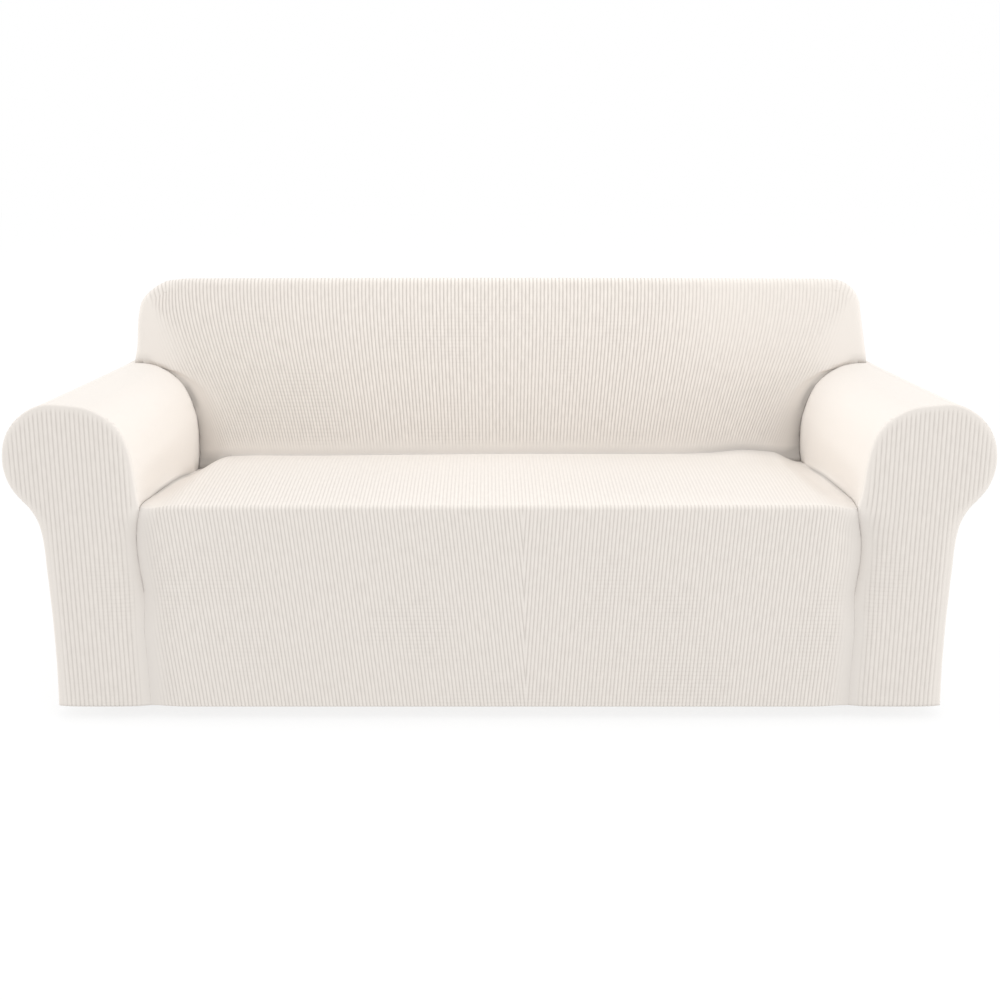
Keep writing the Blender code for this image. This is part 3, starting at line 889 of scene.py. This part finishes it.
def wrap_back(mesh, crest_z):
    """Takes the inside back over the top and round both sides, to the rear seam."""
    rib = mesh.verts.layers.float["rib"]
    along = mesh.verts.layers.float["along"]
    raised = mesh.verts.layers.float["raised"]
    smooth = mesh.verts.layers.float["smooth"]
    over_top = []
    round_side = []
    for rim in mesh.edges:
        if not rim.is_boundary or min(corner.co.z for corner in rim.verts) < crest_z - LEVEL_MARGIN:
            continue
        way = sum((outward(corner.co) for corner in rim.verts), Vector()).normalized()
        if way.z > STRAIGHT:
            over_top.append(rim)
        else:
            round_side.append(rim)

    def carry(corner, before):
        """The ribs run to the rear on the top and upright on the sides, and turn at the corners."""
        way = outward(before)
        length = (corner.co - before).length
        corner[rib] += math.copysign(length * (1 - way.z), way.x) / BACK_RIB
        corner[along] += length * way.z
        return way

    def over(corner, step):
        before = corner.co.copy()
        corner.co = wrapped(before, step, WRAP_ROUND_STEPS, WRAP_TOP_STEPS)
        carry(corner, before)
        corner[smooth] = smooth_step(abs(before.x), *SMOOTH_CORNER)

    def around(corner, step):
        before = corner.co.copy()
        corner.co = wrapped(before, step, WRAP_ROUND_STEPS, WRAP_SIDE_STEPS)
        way = carry(corner, before)
        past_round = step - WRAP_ROUND_STEPS
        on_side = smooth_step(past_round, 2, 8)
        corner[smooth] = 1 - on_side * smooth_step(abs(way.x), 0.995, STRAIGHT)
        on_flat = smooth_step(past_round, 0, 16) * smooth_step(abs(way.x), 0.0, 0.5)
        corner[raised] = mix(corner[raised], smooth_step(corner.co.z - crest_z, 0.004, 0.03), on_flat)

    extrude_edges(mesh, over_top, WRAP_ROUND_STEPS + WRAP_TOP_STEPS, over)
    extrude_edges(mesh, round_side, WRAP_ROUND_STEPS + WRAP_SIDE_STEPS, around)
    bmesh.ops.remove_doubles(mesh, verts=mesh.verts, dist=SAME_PLACE)


def rear_edge_points():
    """Right-hand edge of the rear panel, from the hem up round the roll and the back's side."""
    outer_stations = range(len(STATIONS) - 1, CORNER_STATION, -2)
    edge = [arm_point(station, REAR_EDGE) for station in outer_stations]
    round_steps = 6
    flat_steps = 14
    for point in back_rim()[::2]:
        for step in range(round_steps + flat_steps):
            point = wrapped(point, step, round_steps, flat_steps)
        edge.append(point)
    return edge


def outside_back():
    """Rear panel from the hem to the top, with the outline of the arms and the back."""
    edge = rear_edge_points()
    last = len(edge) - 1
    high = edge[last].z
    half_ribs = math.ceil(max(point.x for point in edge) / REAR_RIB)

    def place(column, row):
        rib = column / REAR_RIB_COLUMNS - half_ribs
        seam = edge[row]
        x = min(max(rib * REAR_RIB, -seam.x), seam.x)
        across = x / seam.x
        z = seam.z
        if row == last:
            z += BACK_TOP_CROWN * swell(across, flatness=2)
        up = (z - HEM_Z) / (high - HEM_Z)
        hollow = REAR_HOLLOW * swell(across, flatness=4) * swell(up, flatness=4)
        point = Vector((x, DEPTH - hollow + hem_swell(z - HEM_Z), z))
        raised = smooth_step(seam.x - abs(x), *FADE_RIM) * smooth_step(high - z, *REAR_FADE_TOP)
        return Place(point, x / REAR_RIB + half_ribs, z - HEM_Z, raised, 0.0)

    mesh = cloth_grid(2 * half_ribs * REAR_RIB_COLUMNS, last, place)
    finish_panel(mesh, "outside_back", Vector((0, 1, 0)))


def arm(side, word):
    """Inner side of an arm, over its roll and down its outer side to the hem."""
    columns = math.ceil((REAR_EDGE - ARM_START) / ARM_RIB) * RIB_COLUMNS
    last = len(STATIONS) - 1
    whole_length = STATIONS[last]["length"]
    roll_length = STATIONS[CORNER_STATION]["length"]

    def place(column, station):
        here = STATIONS[station]
        depth = min(ARM_START + column * ARM_RIB / RIB_COLUMNS, here["depth"])
        rib = (depth - ARM_START) / ARM_RIB
        point = arm_point(station, depth)
        from_seat = here["length"]
        to_back = here["depth"] - depth
        to_hem = whole_length - here["length"]
        inside = station <= CORNER_STATION
        beside_back = station <= TOP_STATION
        back_tuck = tuck(to_back) if beside_back else 0.0
        roll_tuck = tuck(to_back, ROLL_TUCK_REACH) if beside_back else 0.0
        if inside:
            point += Vector((-1, 0, 1)) * seam_rise(depth, from_seat)
        if back_tuck or roll_tuck:
            point += roll_turn(station) * roll_tuck
            point.y += back_tuck_depth(point.z) * back_tuck
        else:
            point.x += hem_swell(to_hem)
        raised = smooth_step(depth - ARM_START, *ARM_FADE_END)
        raised *= smooth_step(REAR_EDGE - depth, *ARM_FADE_END)
        if inside:
            shown = ARM_FAINT * smooth_step(from_seat, *ARM_FADE_INNER)
            raised *= shown * smooth_step(to_back, *ARM_FADE_INNER)
        else:
            raised *= mix(ARM_FAINT, 1.0, smooth_step(from_seat - roll_length, *ARM_FADE_OUTER))
        point.x *= side
        # painted shade beside the back, along the seat's seam and over the upper part of the roll
        creased = ARM_BACK_SHADE * back_tuck
        if inside:
            painted_roll_shade = ROLL_SHADE * smooth_step(point.z, *ROLL_SHADE_HEIGHTS)
            creased = max(creased, painted_seam_shade(depth, from_seat), painted_roll_shade)
        return Place(point, rib, to_hem, raised, creased)

    mesh = cloth_grid(columns, last, place)
    finish_panel(mesh, "arm_" + word, Vector((side, 0, 0)))


def front_outline():
    """Points of the right arm front's outline, from the inner hem corner round to the outer one."""
    inner = [Vector((row["inner"], row["z"])) for row in ARM_ROWS]
    outer = [Vector((row["outer"], row["z"])) for row in reversed(ARM_ROWS)]
    return smooth_path(inner + outer, steps=12)


def arm_front(side, word):
    """Shaped front face of an arm, a little domed, which turns back to its seam all round."""
    outline = front_outline()
    crest = outline.index(max(outline, key=lambda point: point.y))
    inner_points = outline[:crest + 1]
    inner_edge = Reading([point.y for point in inner_points], [point.x for point in inner_points])
    outer_points = outline[crest:][::-1]
    outer_edge = Reading([point.y for point in outer_points], [point.x for point in outer_points])
    top = outline[crest].y
    seam_points = kdtree.KDTree(len(outline) * SEAM_STITCHES)
    for index in range((len(outline) - 1) * SEAM_STITCHES):
        start = outline[index // SEAM_STITCHES]
        end = outline[index // SEAM_STITCHES + 1]
        point = start.lerp(end, index % SEAM_STITCHES / SEAM_STITCHES)
        seam_points.insert((point.x, 0, point.y), index)
    seam_points.balance()
    cap_z = top - 0.030
    levels = [HEM_Z + height for height in HEM_ROWS]
    levels += spread(HEM_Z + 0.026, cap_z, count=66)
    levels += spread(cap_z, top, count=22, crowding_high=1.8)[1:]
    first_rib = math.floor(min(row["inner"] for row in ARM_ROWS) / ARM_RIB)
    last_rib = math.ceil(max(row["outer"] for row in ARM_ROWS) / ARM_RIB)

    def place(column, row):
        z = levels[row]
        low = inner_edge(z)
        high = outer_edge(z)
        x = min(max((first_rib + column / FRONT_RIB_COLUMNS) * ARM_RIB, low), high)
        share = (x - low) / max(high - low, NARROWEST)
        up = (z - HEM_Z) / (top - HEM_Z)
        dome = ARM_FRONT_DOME * swell(2 * share - 1, flatness=4) * swell(up, flatness=6)
        sunk = (crease_depth(z) - FRONT_RIM) * (1 - share) ** VALLEY_PULL
        beside_front = z < CROTCH_Z
        on_seam = x in (low, high) or row == len(levels) - 1
        from_seam = 0.0 if on_seam else seam_points.find((x, 0, z))[2]
        to_edge = high - x if beside_front else from_seam
        roll = max(RIM_ROLL - to_edge, 0.0)
        turned_back = RIM_ROLL - math.sqrt(max(RIM_ROLL ** 2 - roll ** 2, 0.0))
        point = Vector((side * x, FRONT_RIM - dome + sunk + turned_back, z))
        # painted shade over the whole arm front, deeper in the crease and valley beside the seat's front
        creased = FRONT_SHADE
        raised = smooth_step(from_seam, *FADE_RIM)
        if beside_front:
            sharp = crease_sharpness(z) * smooth_step(CROTCH_Z - z, 0.0, 0.01)
            side_tuck = tuck(x - low) * sharp
            creased = max(FRONT_SHADE, CREASE_SHADE * side_tuck, painted_valley_shade(z, x - low))
            point.y += SEAM_TUCK * side_tuck
            raised = smooth_step(x - low, *ARM_FRONT_INNER)
            raised *= smooth_step(high - x, *ARM_FRONT_OUTER)
        raised *= ARM_FRONT_BOLDNESS
        point.y -= hem_swell(z - HEM_Z)
        return Place(point, x / ARM_RIB - first_rib, z - HEM_Z, raised, creased)

    mesh = cloth_grid((last_rib - first_rib) * FRONT_RIB_COLUMNS, len(levels) - 1, place)
    finish_panel(mesh, "arm_front_" + word, Vector((0, -1, 0)))


# The knit


class Knob:
    """A shader socket that takes part in Python's arithmetic."""

    tree = None

    def __init__(self, socket):
        self.socket = socket

    @classmethod
    def node(cls, kind, settings, **inputs):
        """Adds a node, sets its settings, and gives its sockets their values or links."""
        made = cls.tree.nodes.new(kind)
        for name, value in settings.items():
            setattr(made, name, value)
        for name, value in inputs.items():
            key = int(name[1:]) if name[1:].isdigit() else name.replace("_", " ")
            socket = made.inputs[key]
            if isinstance(value, Knob):
                cls.tree.links.new(value.socket, socket)
            else:
                socket.default_value = value
        return made

    @classmethod
    def maths(cls, operation, first, second=0.0, third=0.0):
        made = cls.node("ShaderNodeMath", dict(operation=operation), _0=first, _1=second, _2=third)
        return cls(made.outputs[0])

    def __add__(self, other):
        return Knob.maths("ADD", self, other)

    __radd__ = __add__

    def __mul__(self, other):
        return Knob.maths("MULTIPLY", self, other)

    __rmul__ = __mul__

    def __sub__(self, other):
        return Knob.maths("SUBTRACT", self, other)

    def __rsub__(self, other):
        return Knob.maths("SUBTRACT", other, self)

    def __truediv__(self, other):
        return Knob.maths("DIVIDE", self, other)

    def __pow__(self, other):
        return Knob.maths("POWER", self, other)

    def wave(self):
        """|sin| of half a turn for each 1: 0 at whole numbers and 1 half-way between."""
        return Knob.maths("ABSOLUTE", Knob.maths("SINE", self * math.pi))

    def fraction(self):
        return Knob.maths("FRACT", self)


def colour_mix(share, first, second):
    made = Knob.node("ShaderNodeMix", dict(data_type="RGBA"), _0=share, _6=first, _7=second)
    return Knob(made.outputs[2])


CREAM = (0.789, 0.743, 0.697, 1)
# a darker colour for the painted shade in the knit's grooves, also taken between its bars and stitches and
# by random flecks
GROOVE_SHADE_COLOUR = (0.551, 0.509, 0.470, 1)
# the colour of the painted shade in creases and on shaded parts of the cover
PAINTED_SHADE_COLOUR = (0.473, 0.446, 0.420, 1)
WARM = (0.797, 0.746, 0.690, 1)
CROSS_BAR = 0.0090  # pitch of the faint bars across the ribs
BARS_UP_TO = 0.40  # length from the hem above which there are no bars
STITCH = 0.0022  # height of one row of knit stitches
STITCH_SLANT = 1.2
# how far the knit goes towards its groove colour: painted shade in the grooves, darker between bars and
# stitches, random flecks
GROOVE_SHADE = 0.72
BAR_SHADE = 0.45
STITCH_SHADE = 0.08
FLECK_SHADE = 0.45
# how strongly the panels' painted shade darkens the knit
PAINTED_SHADE_STRENGTH = 0.6
RIB_BUMP = 0.25
BAR_BUMP = 0.18
STITCH_BUMP = 0.30
FUZZ_BUMP = 0.15


def ribbed_knit():
    """Matt ribbed knit: painted shade in the grooves, faint cross bars, fine stitches and a slightly uneven
    cream.
    """
    material = bpy.data.materials.new("ribbed_knit_cream")
    material.use_nodes = True
    Knob.tree = material.node_tree
    shader = material.node_tree.nodes["Principled BSDF"]
    cloth_map = Knob.node("ShaderNodeUVMap", dict(uv_map="cloth"))
    parts = Knob.node("ShaderNodeSeparateXYZ", {}, _0=Knob(cloth_map.outputs[0]))
    rib = Knob(parts.outputs[0])
    along = Knob(parts.outputs[1])
    raised = Knob(Knob.node("ShaderNodeAttribute", dict(attribute_name="raised")).outputs["Fac"])
    creased = Knob(Knob.node("ShaderNodeAttribute", dict(attribute_name="creased")).outputs["Fac"])
    place = Knob(Knob.node("ShaderNodeTexCoord", {}).outputs["Object"])

    def blotches(scale, detail):
        made = Knob.node("ShaderNodeTexNoise", {}, Vector=place, Scale=scale, Detail=detail)
        return Knob(made.outputs["Fac"])

    crest = rib.wave()
    painted_groove_shade = (1 - crest) ** 1.5
    bars = (along / CROSS_BAR).wave()
    patches = Knob.maths("MAXIMUM", Knob.maths("MINIMUM", (blotches(4.0, 3.0) - 0.47) * 6, 1.0), 0.1)
    low_half = Knob.maths("MINIMUM", Knob.maths("MAXIMUM", (BARS_UP_TO - along) * 8, 0.0), 1.0)
    patches = patches * low_half
    between_bars = (1 - bars) ** 2 * patches * raised * BAR_SHADE
    slant = rib.fraction() - 0.5
    fleck_place = Knob.node("ShaderNodeCombineXYZ", {}, _0=rib * 1.1, _1=along * 35.0)
    flecks = Knob.node("ShaderNodeTexNoise", {}, Vector=Knob(fleck_place.outputs[0]), Scale=1.0, Detail=2.0)
    flecks = Knob(flecks.outputs["Fac"]) - 0.5
    stitches = (along / STITCH + Knob.maths("ABSOLUTE", slant) * STITCH_SLANT).wave()
    colour = colour_mix(blotches(5.0, 3.0) * 0.5, CREAM, WARM)
    # painted shade in the grooves between the ribs; the cloth is also darker between the bars and stitches,
    # and in random flecks
    shade = painted_groove_shade * raised * GROOVE_SHADE + between_bars * BAR_SHADE
    shade = shade + (1 - stitches) * STITCH_SHADE + flecks * raised * FLECK_SHADE
    shade = Knob.maths("MINIMUM", Knob.maths("MAXIMUM", shade + 0.04, 0.0), 1.0)
    colour = colour_mix(shade, colour, GROOVE_SHADE_COLOUR)
    # the panels' painted shade, in creases and on shaded parts of the cover
    colour = colour_mix(creased * PAINTED_SHADE_STRENGTH, colour, PAINTED_SHADE_COLOUR)
    height = crest * raised * RIB_BUMP + bars * patches * raised * BAR_BUMP
    height = height + stitches * STITCH_BUMP + blotches(900.0, 1.0) * FUZZ_BUMP
    bump = Knob.node("ShaderNodeBump", {}, Strength=0.35, Distance=0.0006, Height=height)
    tree = material.node_tree
    tree.links.new(colour.socket, shader.inputs["Base Color"])
    tree.links.new(bump.outputs[0], shader.inputs["Normal"])
    shader.inputs["Roughness"].default_value = 0.92
    shader.inputs["Metallic"].default_value = 0.0
    shader.inputs["Specular IOR Level"].default_value = 0.25
    shader.inputs["Sheen Weight"].default_value = 0.12
    shader.inputs["Sheen Roughness"].default_value = 0.6
    return material


KNIT = ribbed_knit()


# Studio


def pale_floor():
    material = bpy.data.materials.new("pale_floor")
    material.use_nodes = True
    shader = material.node_tree.nodes["Principled BSDF"]
    shader.inputs["Base Color"].default_value = (0.2, 0.2, 0.2, 1)
    shader.inputs["Roughness"].default_value = 1.0
    shader.inputs["Specular IOR Level"].default_value = 0.0
    shader.inputs["Emission Color"].default_value = (1, 1, 1, 1)
    shader.inputs["Emission Strength"].default_value = 0.8
    return material


def studio_floor():
    mesh = bmesh.new()
    bmesh.ops.create_grid(mesh, x_segments=1, y_segments=1, size=30)
    bmesh.ops.translate(mesh, verts=mesh.verts, vec=Vector((0, 0, TO_MODEL.z)))
    data = bpy.data.meshes.new("studio_floor")
    mesh.to_mesh(data)
    mesh.free()
    data.materials.append(pale_floor())
    floor = bpy.data.objects.new("studio_floor", data)
    bpy.context.scene.collection.objects.link(floor)


def soft_light(name, place, target, size, power):
    data = bpy.data.lights.new(name, "AREA")
    data.shape = "RECTANGLE"
    data.size, data.size_y = size
    data.energy = power
    light = bpy.data.objects.new(name, data)
    light.location = Vector(place) + TO_MODEL
    light.rotation_euler = (Vector(target) - Vector(place)).to_track_quat("-Z", "Y").to_euler()
    bpy.context.scene.collection.objects.link(light)


LIGHTS = table(
    "name place target size power",
    ("left_box", (-12.0, 1.0, 3.2), (0.3, 0.3, 0.55), (5.0, 3.0), 390),
    ("right_box", (12.0, -0.6, 3.2), (-0.3, 0.3, 0.55), (5.0, 3.0), 380),
    ("overhead", (-0.05, 0.45, 2.6), (-0.05, 0.35, 0.5), (1.2, 0.8), 9),
    ("front_fill", (0.6, -1.2, 2.6), (0.3, 0.3, 0.6), (1.6, 1.0), 6),
)


def studio_light():
    world = bpy.data.worlds.new("studio")
    world.use_nodes = True
    background = world.node_tree.nodes["Background"]
    background.inputs["Color"].default_value = (1, 1, 1, 1)
    background.inputs["Strength"].default_value = 1.0
    bpy.context.scene.world = world
    bpy.context.scene.view_settings.view_transform = "Standard"
    for light in LIGHTS:
        soft_light(**light)


CAMERA_PLACE = (0, -2.549, 1.1546)
CAMERA_DOWN = 14.58  # degrees


def camera():
    """At the photograph's angle, from in front and a little above."""
    data = bpy.data.cameras.new("camera")
    data.lens = 45.72
    data.sensor_width = 36
    data.shift_x = 0.0005
    item = bpy.data.objects.new("camera", data)
    item.location = Vector(CAMERA_PLACE) + TO_MODEL
    item.rotation_euler = (math.radians(90 - CAMERA_DOWN), 0, 0)
    bpy.context.scene.collection.objects.link(item)
    bpy.context.scene.camera = item


camera()
studio_floor()
studio_light()
seat_and_front()
inside_back()
outside_back()
for word, side in (("right", 1), ("left", -1)):
    arm(side, word)
    arm_front(side, word)

bpy.context.view_layer.update()
